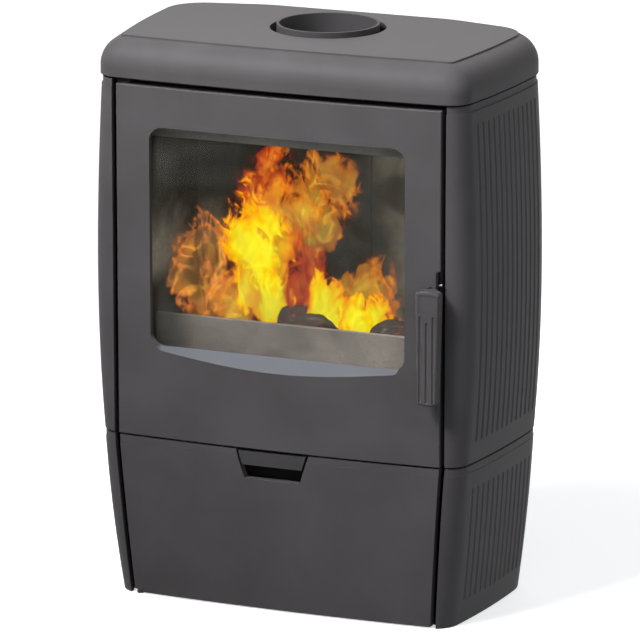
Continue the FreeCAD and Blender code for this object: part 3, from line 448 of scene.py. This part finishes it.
# the deflector's colours are lifted near white as painted light, making up for the shade of the door's top
# bar
DARKEN_START = 0.016
DARKEN_END = 0.034
SOFFIT = lining_board("deflector_painted_light", tone(240, 232, 217), tone(214, 205, 190), soot_and_shade_share=0.0,
                      darker_above=(deflector_foot + DARKEN_START, deflector_foot + DARKEN_END))
PANE = door_pane("door_pane")
ROPE = woven_rope("seal_rope", tone(70, 68, 66))
BARK = log_bark("charred_bark")
EMBER = ember_glow("ember_bed")
HOT = flame_tongue("yellow_flame", (
    (0.36, (0.70, 0.08, 0.0, 1)), (0.48, (1.0, 0.25, 0.0, 1)), (0.60, (1.0, 0.48, 0.0, 1)),
    (0.80, (1.0, 0.76, 0.0, 1)), (1.0, (1.0, 0.88, 0.02, 1))), strength=1.1, fill=1.0, wisp=0.16)
WARM = flame_tongue("orange_flame", (
    (0.2, (0.45, 0.06, 0.0, 1)), (0.5, (0.85, 0.20, 0.01, 1)), (0.75, (0.95, 0.38, 0.03, 1)),
    (1.0, (1.0, 0.60, 0.05, 1))), strength=0.95, fill=0.85, wisp=0.5)
FADED = flame_tongue("thin_flame", (
    (0.2, (0.60, 0.15, 0.02, 1)), (0.6, (0.92, 0.27, 0.04, 1)), (1.0, (1.0, 0.42, 0.06, 1))),
    strength=1.0, fill=1.0, wisp=0.55, gap=0.7)
EMBERY = flame_tongue("red_flame", (
    (0.25, (0.25, 0.01, 0.0, 1)), (0.6, (0.62, 0.05, 0.01, 1)), (1.0, (1.0, 0.20, 0.02, 1))),
    strength=0.9, fill=0.8, wisp=0.3)

INNER = {"crown_plate", "front_frame", "ash_frame", "hearth_plate", "grate", "base_plate", "ash_pan",
         "left_pan_runner", "right_pan_runner", "hinge_strap", "upper_hinge_lug"}
BRIGHT = ("latch_stop", "glass_", "collar_bolt", "door_pin", "ash_pin", "handle_pivot", "left_tie",
          "right_tie")
for name, node in nodes.items():
    finish = GREY
    if name in INNER:
        finish = DARK
    elif name.endswith("firebrick") or name == "baffle_plate":
        finish = BRICK
    elif name == "log_guard":
        finish = GUARD
    elif name == "air_deflector":
        finish = SOFFIT
    elif name == "fire_door":
        finish = SILL
    elif name == "door_glass":
        finish = PANE
    elif name in ("glass_gasket", "door_rope_seal"):
        finish = ROPE
    # the flue collar takes the darker paint as painted shade for the inside of its bore
    elif name.startswith("air_slide") or name == "flue_collar":
        finish = SHEET_AND_BORE_SHADE
    elif name in ("handle_cheek_left", "handle_cheek_right", "latch_hook", "latch_keeper"):
        finish = BLACK
    elif name.startswith(BRIGHT):
        finish = STEEL
    node.data.materials.clear()
    node.data.materials.append(finish)


# pieces made here


def piece(name, mesh, finish, body):
    """A finished piece: its mesh, its finish in the mesh's material slot, and the body it rides on."""
    obj = bpy.data.objects.new(name, mesh)
    bpy.context.scene.collection.objects.link(obj)
    mesh.materials.append(finish)
    mesh.shade_smooth()
    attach(obj, body)
    return obj


def to_mesh(name, bm):
    """The bmesh as a mesh of its own."""
    mesh = bpy.data.meshes.new(name)
    bm.to_mesh(mesh)
    bm.free()
    return mesh


# shares of a log's radius: thin end, inset of the ends, bark's ridges and knots, broken ends, smooth core
LOG_TAPER = 0.92
LOG_END_INSET = 0.25
BARK_RIDGE = 0.09
BARK_KNOT = 0.14
LOG_END_BREAK = 0.16
LOG_CORE = 0.4


def log(name, start, end, radius, seed):
    """A charred log lying between two points, with uneven bark and broken ends."""
    bm = bmesh.new()
    length = (end - start).length
    bmesh.ops.create_cone(bm, cap_ends=True, cap_tris=False, segments=36, radius1=radius,
                          radius2=radius * LOG_TAPER, depth=length)
    sides = [e for e in bm.edges if abs(e.verts[0].co.z - e.verts[1].co.z) > length / 2]
    bmesh.ops.subdivide_edges(bm, edges=sides, cuts=34, use_grid_fill=True)
    caps = [f for f in bm.faces if len(f.verts) > 4]
    bmesh.ops.inset_region(bm, faces=caps, thickness=radius * LOG_END_INSET, use_even_offset=True)
    rough = Vector((seed * 3.1, seed * 1.7, seed))
    for v in bm.verts:
        around = Vector((v.co.x, v.co.y, v.co.z * 0.3)) * 60
        ridge = noise.fractal(around + rough, 0.9, 2.0, 4)
        knot = noise.noise(v.co * 12 + rough)
        out = Vector((v.co.x, v.co.y, 0))
        if out.length > radius * LOG_CORE:
            v.co += out.normalized() * (ridge * radius * BARK_RIDGE + knot * radius * BARK_KNOT)
        if abs(v.co.z) > length * 0.49:
            v.co.z += noise.noise(v.co * 90 + rough) * radius * LOG_END_BREAK
    turn = (end - start).to_track_quat("Z", "Y").to_matrix().to_4x4()
    bmesh.ops.transform(bm, matrix=Matrix.Translation((start + end) / 2) @ turn, verts=bm.verts)
    bmesh.ops.recalc_face_normals(bm, faces=bm.faces)
    return piece(name, to_mesh(name, bm), BARK, BODY)


def ember_bed(name, low, high, seed):
    """A lumpy heap of embers and ash over the grate, falling off to its rim."""
    bm = bmesh.new()
    bmesh.ops.create_grid(bm, x_segments=60, y_segments=36, size=0.5)
    for v in bm.verts:
        edge = max(0.0, 1 - (2 * v.co.x) ** 4) * max(0.0, 1 - (2 * v.co.y) ** 4)
        lump = 0.5 + 0.5 * noise.fractal(Vector((v.co.x * 14, v.co.y * 8, seed)), 0.8, 2.0, 4)
        x = low[0] + (v.co.x + 0.5) * (high[0] - low[0])
        y = low[1] + (v.co.y + 0.5) * (high[1] - low[1])
        v.co = Vector((x, y, low[2] + (high[2] - low[2]) * edge * (0.45 + 0.55 * lump)))
    rim = [e for e in bm.edges if e.is_boundary]
    skirt = bmesh.ops.extrude_edge_only(bm, edges=rim)["geom"]
    for v in (g for g in skirt if isinstance(g, bmesh.types.BMVert)):
        v.co.z = low[2]
    bmesh.ops.holes_fill(bm, edges=[e for e in bm.edges if e.is_boundary], sides=0)
    bmesh.ops.recalc_face_normals(bm, faces=bm.faces)
    return piece(name, to_mesh(name, bm), EMBER, BODY)


# shares of a tongue's width: at its foot, added at its widest, the ripple and the bulge of the sheet
TONGUE_FOOT = 0.32
TONGUE_SWELL = 0.98
TONGUE_RIPPLE = 0.10
TONGUE_BULGE = 0.12


def tongue(name, foot, height, width, lean, curl, turn, finish, seed):
    """One sheet of flame: a tall grid that swells, leans and curls, carrying its own UV map."""
    bm = bmesh.new()
    bmesh.ops.create_grid(bm, x_segments=14, y_segments=36, size=0.5)
    uv = bm.loops.layers.uv.new("tongue")
    for face in bm.faces:
        for loop in face.loops:
            loop[uv].uv = (loop.vert.co.x + 0.5, loop.vert.co.y + 0.5)
    for v in bm.verts:
        up = v.co.y + 0.5
        across = v.co.x * 2
        swell = width * (TONGUE_FOOT + TONGUE_SWELL * math.sin(math.pi * min(1.0, up * 1.1)))
        sway = lean * up ** 1.4 + curl * math.sin(up * 5.5 + seed) * up
        ripple = TONGUE_RIPPLE * width * noise.noise(Vector((across * 1.3, up * 4, seed)))
        bulge = TONGUE_BULGE * width * math.cos(across * 1.5)
        v.co = Vector((across * swell / 2 + sway, ripple + bulge, up * height))
    bmesh.ops.rotate(bm, cent=(0, 0, 0), matrix=Matrix.Rotation(math.radians(turn), 3, "Z"), verts=bm.verts)
    bmesh.ops.translate(bm, vec=foot, verts=bm.verts)
    bmesh.ops.recalc_face_normals(bm, faces=bm.faces)
    return piece(name, to_mesh(name, bm), finish, BODY)


STITCHES_PER_METRE = 190
STITCHES_PER_RADIAN = 3
RUN_STEPS = 40
CORNER_STEPS = 8


def woven_loop(name, half, low, high, corner, depth, wide, thick, flat):
    """A woven ring swept round a rounded rectangle: a round rope, or a tape where flat is above one."""
    bm = bmesh.new()
    uv = bm.loops.layers.uv.new("weave")
    ring = bmesh.ops.create_circle(bm, segments=16, radius=1.0, cap_ends=False)
    verts = ring["verts"]
    for v in verts:
        x = math.copysign(abs(v.co.x) ** (1 / flat), v.co.x) * wide
        y = math.copysign(abs(v.co.y) ** (1 / flat), v.co.y) * thick
        v.co = Vector((-half + corner, depth + y, low + x))
    edges = list({e for v in verts for e in v.link_edges})
    runs = ((2 * (half - corner), Vector((1, 0, 0)), (half - corner, depth, low + corner)),
            (high - low - 2 * corner, Vector((0, 0, 1)), (half - corner, depth, high - corner)),
            (2 * (half - corner), Vector((-1, 0, 0)), (-half + corner, depth, high - corner)),
            (high - low - 2 * corner, Vector((0, 0, -1)), (-half + corner, depth, low + corner)))
    for length, way, centre in runs:
        for _ in range(RUN_STEPS):
            geom = bmesh.ops.extrude_edge_only(bm, edges=edges)["geom"]
            moved = [g for g in geom if isinstance(g, bmesh.types.BMVert)]
            bmesh.ops.translate(bm, vec=way * length / RUN_STEPS, verts=moved)
            edges = [g for g in geom if isinstance(g, bmesh.types.BMEdge)]
        turned = bmesh.ops.spin(bm, geom=edges, cent=centre, axis=(0, -1, 0), dvec=(0, 0, 0),
                                angle=math.radians(90), steps=CORNER_STEPS)
        edges = [g for g in turned["geom_last"] if isinstance(g, bmesh.types.BMEdge)]
    bmesh.ops.remove_doubles(bm, verts=bm.verts, dist=thick * 0.05)
    bmesh.ops.recalc_face_normals(bm, faces=bm.faces)
    for face in bm.faces:
        middle = face.calc_center_median()
        for loop in face.loops:
            p = loop.vert.co
            along = (p.x + p.z) * STITCHES_PER_METRE
            turn = math.atan2(p.y - depth, (p - middle).length + wide)
            loop[uv].uv = (along, turn * STITCHES_PER_RADIAN)
    return piece(name, to_mesh(name, bm), ROPE, DOOR)


SEAL_EASE = 0.98
ROPE_CORNER = 0.014
rope_r = (rope_high.y - rope_low.y) / 2
rope = woven_loop("seal_rope_knitted", rope_high.x - rope_r, rope_low.z + rope_r, rope_high.z - rope_r,
                  ROPE_CORNER, (rope_low.y + rope_high.y) / 2, rope_r * SEAL_EASE, rope_r * SEAL_EASE, 1.0)
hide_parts("door_rope_seal")
TAPE_CORNER = 0.0135
TAPE_HALF_WIDTH = 0.0044
TAPE_FLAT = 2.5
tape_thick = (tape_high.y - tape_low.y) / 2 * SEAL_EASE
tape = woven_loop("glass_tape_woven", tape_high.x - TAPE_HALF_WIDTH, tape_low.z + TAPE_HALF_WIDTH,
                  tape_high.z - TAPE_HALF_WIDTH, TAPE_CORNER, (tape_low.y + tape_high.y) / 2,
                  TAPE_HALF_WIDTH, tape_thick, TAPE_FLAT)
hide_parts("glass_gasket")

EMBER_HALF_WIDTH = 0.16
EMBER_HEIGHT = 0.045
EMBER_FRONT_GAP = 0.012
EMBER_BACK_GAP = 0.02
ember_bed("ember_heap", (-EMBER_HALF_WIDTH, guard_back + EMBER_FRONT_GAP, hearth),
          (EMBER_HALF_WIDTH, fire_back - EMBER_BACK_GAP, hearth + EMBER_HEIGHT), 4.0)
LOGS = (
    # name, start and end as x, y from the fire's middle and height over the hearth, radius, seed
    ("log_front", (-0.17, -0.045, 0.062), (0.15, -0.035, 0.066), 0.034, 1.0),
    ("log_rear", (-0.15, 0.05, 0.066), (0.17, 0.042, 0.062), 0.037, 2.0),
    ("log_cross", (-0.09, 0.075, 0.128), (0.03, -0.07, 0.122), 0.029, 3.0),
    ("log_right", (0.02, 0.06, 0.122), (0.15, -0.05, 0.118), 0.027, 5.0),
)
hearth_middle = Vector((0, middle_y, hearth))
for name, start, end, radius, seed in LOGS:
    log(name, hearth_middle + Vector(start), hearth_middle + Vector(end), radius, seed)

FLAMES = (
    # name, x, y from the fire's middle, foot over the hearth, height, width, lean, curl, turn, finish, seed
    ("flame_core", -0.070, -0.020, 0.100, 0.265, 0.092, -0.014, 0.012, 22, HOT, 0.3),
    ("flame_core_back", -0.068, 0.012, 0.140, 0.235, 0.080, -0.012, 0.014, 16, HOT, 2.4),
    ("flame_skirt", -0.096, -0.028, 0.095, 0.130, 0.060, -0.020, 0.010, 22, WARM, 3.3),
    ("flame_crown", -0.026, 0.014, 0.190, 0.190, 0.110, 0.004, 0.020, 24, WARM, 3.7),
    ("flame_crown_front", -0.050, -0.005, 0.215, 0.155, 0.105, 0.008, 0.024, 20, WARM, 1.1),
    ("flame_crown_red", -0.074, 0.005, 0.255, 0.120, 0.080, 0.006, 0.018, 22, EMBERY, 9.3),
    ("flame_red", -0.026, -0.010, 0.105, 0.205, 0.060, -0.006, 0.014, 22, EMBERY, 6.1),
    ("flame_left", -0.168, 0.000, 0.110, 0.170, 0.085, -0.010, 0.018, 22, FADED, 4.2),
    ("flame_left_low", -0.136, -0.030, 0.100, 0.115, 0.078, -0.008, 0.012, 22, FADED, 5.2),
    ("flame_right", 0.022, -0.030, 0.092, 0.140, 0.072, -0.012, 0.014, 22, HOT, 6.8),
    ("flame_right_end", 0.074, -0.020, 0.088, 0.115, 0.078, 0.010, 0.014, 24, HOT, 7.5),
    ("flame_right_back", 0.050, 0.030, 0.105, 0.120, 0.090, 0.004, 0.016, 20, WARM, 8.6),
)
for name, x, y, foot, height, width, lean, curl, turn, finish, seed in FLAMES:
    place = hearth_middle + Vector((x, y, foot))
    tongue(name, place, height, width, lean, curl, turn, finish, seed)


# floor, lights, camera


def seen_rays(tree):
    """A mask of the rays that show the background: from the camera, off metal and through glass."""
    path = tree.nodes.new("ShaderNodeLightPath")
    bare = math_node(tree, "MAXIMUM", path.outputs["Is Camera Ray"], path.outputs["Is Transmission Ray"])
    return math_node(tree, "MAXIMUM", bare, path.outputs["Is Glossy Ray"])


FLOOR_HALF = 9.0
FLOOR_SHINE = 0.55


def studio_floor():
    """A pale floor that stays white where it is seen and throws little light up at the stove."""
    bm = bmesh.new()
    bmesh.ops.create_grid(bm, x_segments=2, y_segments=2, size=FLOOR_HALF)
    floor = bpy.data.objects.new("floor", to_mesh("floor", bm))
    bpy.context.scene.collection.objects.link(floor)
    mat, tree, shader, coords = material("pale_floor")
    grain = noise_node(tree, coords, 3.0, 2.0)
    pale = blend(tree, grain, (0.88, 0.88, 0.88, 1), (0.92, 0.92, 0.92, 1))
    seen = seen_rays(tree)
    tree.links.new(blend(tree, seen, (0.05, 0.05, 0.055, 1), pale), shader.inputs["Base Color"])
    tree.links.new(math_node(tree, "MULTIPLY", seen, FLOOR_SHINE), shader.inputs["Emission Strength"])
    shader.inputs["Emission Color"].default_value = (1, 1, 1, 1)
    shader.inputs["Roughness"].default_value = 0.9
    shader.inputs["Specular IOR Level"].default_value = 0.0
    floor.data.materials.append(mat)


studio_floor()

world = bpy.data.worlds.new("studio")
bpy.context.scene.world = world
world.use_nodes = True
sky = world.node_tree
seen = seen_rays(sky)
ground = sky.nodes["Background"]
sky_way = sky.nodes.new("ShaderNodeTexCoord")
sky_split = sky.nodes.new("ShaderNodeSeparateXYZ")
sky.links.new(sky_way.outputs["Generated"], sky_split.inputs[0])
# the sky's light by its direction: more from the right, less from above and behind, more above the horizon
sideways = span(sky, sky_split.outputs["X"], -0.8, 0.9, 0.46, 1.40)
overhead = span(sky, sky_split.outputs["Z"], 0.5, 0.95, 0.0, -0.92)
behind = span(sky, sky_split.outputs["Y"], 0.0, 0.8, 1.0, 0.30)
lift = span(sky, sky_split.outputs["Z"], 0.0, 0.5, 0.62, 0.92)
around = math_node(sky, "MULTIPLY_ADD", sideways, lift, overhead)
sky.links.new(math_node(sky, "MULTIPLY", around, behind), ground.inputs["Strength"])
ground.inputs["Color"].default_value = (0.90, 0.94, 1.0, 1)
plain = sky.nodes.new("ShaderNodeBackground")
plain.inputs["Color"].default_value = (1, 1, 1, 1)
plain.inputs["Strength"].default_value = 1.0
mixer = sky.nodes.new("ShaderNodeMixShader")
sky.links.new(seen, mixer.inputs[0])
sky.links.new(ground.outputs[0], mixer.inputs[1])
sky.links.new(plain.outputs[0], mixer.inputs[2])
sky.links.new(mixer.outputs[0], sky.nodes["World Output"].inputs["Surface"])


def panel_light(name, place, aim, size, power, colour=(1, 1, 1)):
    """A flat soft lamp at a place, turned to its aim: width and height in metres, power in watts."""
    lamp = bpy.data.lights.new(name, "AREA")
    lamp.shape = "RECTANGLE"
    lamp.size, lamp.size_y = size
    lamp.energy = power
    lamp.color = colour
    obj = bpy.data.objects.new(name, lamp)
    obj.location = place
    obj.rotation_euler = (Vector(aim) - Vector(place)).to_track_quat("-Z", "Y").to_euler()
    bpy.context.scene.collection.objects.link(obj)
    return obj


KEY_SPREAD = 46
GLOW_GAP = 0.012
key = panel_light("key_panel", place=(-0.75, -1.3, 2.2), aim=(0, -0.1, 0.80), size=(1.2, 0.8), power=9.5,
                  colour=(0.96, 0.97, 1.0))
key.data.spread = math.radians(KEY_SPREAD)
panel_light("top_panel", place=(-0.9, -0.8, 3.0), aim=(0, -0.1, 0.6), size=(1.4, 0.9), power=4,
            colour=(0.62, 0.80, 1.0))
panel_light("fire_glow", place=(0.0, guard_back + GLOW_GAP, baffle_low.z - GLOW_GAP),
            aim=(0.02, fire_back, 0.36), size=(0.34, 0.02), power=0.2, colour=(1.0, 0.95, 0.86))
panel_light("floor_wash", place=(0.0, 3.4, 3.2), aim=(0, 3.0, 0.0), size=(4.0, 2.0), power=60)

# the camera that was fitted to the photograph: focal length in its pixels, place in metres, angles in degrees
PHOTO_WIDTH = 640
FOCAL_PIXELS = 5708.5
SENSOR_WIDTH = 36.0
CAMERA_PLACE = (2.67135, -6.47232, 2.15262)
CAMERA_DOWN = 14.44
CAMERA_TURN = 22.41
camera = bpy.data.cameras.new("photo_view")
camera.sensor_width = SENSOR_WIDTH
camera.lens = FOCAL_PIXELS / PHOTO_WIDTH * SENSOR_WIDTH
camera.clip_end = 100.0
eye = bpy.data.objects.new("photo_view", camera)
eye.location = CAMERA_PLACE
eye.rotation_euler = Euler((math.radians(90 - CAMERA_DOWN), 0, math.radians(CAMERA_TURN)), "XYZ")
bpy.context.scene.collection.objects.link(eye)
bpy.context.scene.camera = eye
bpy.context.scene.view_settings.view_transform = "Standard"
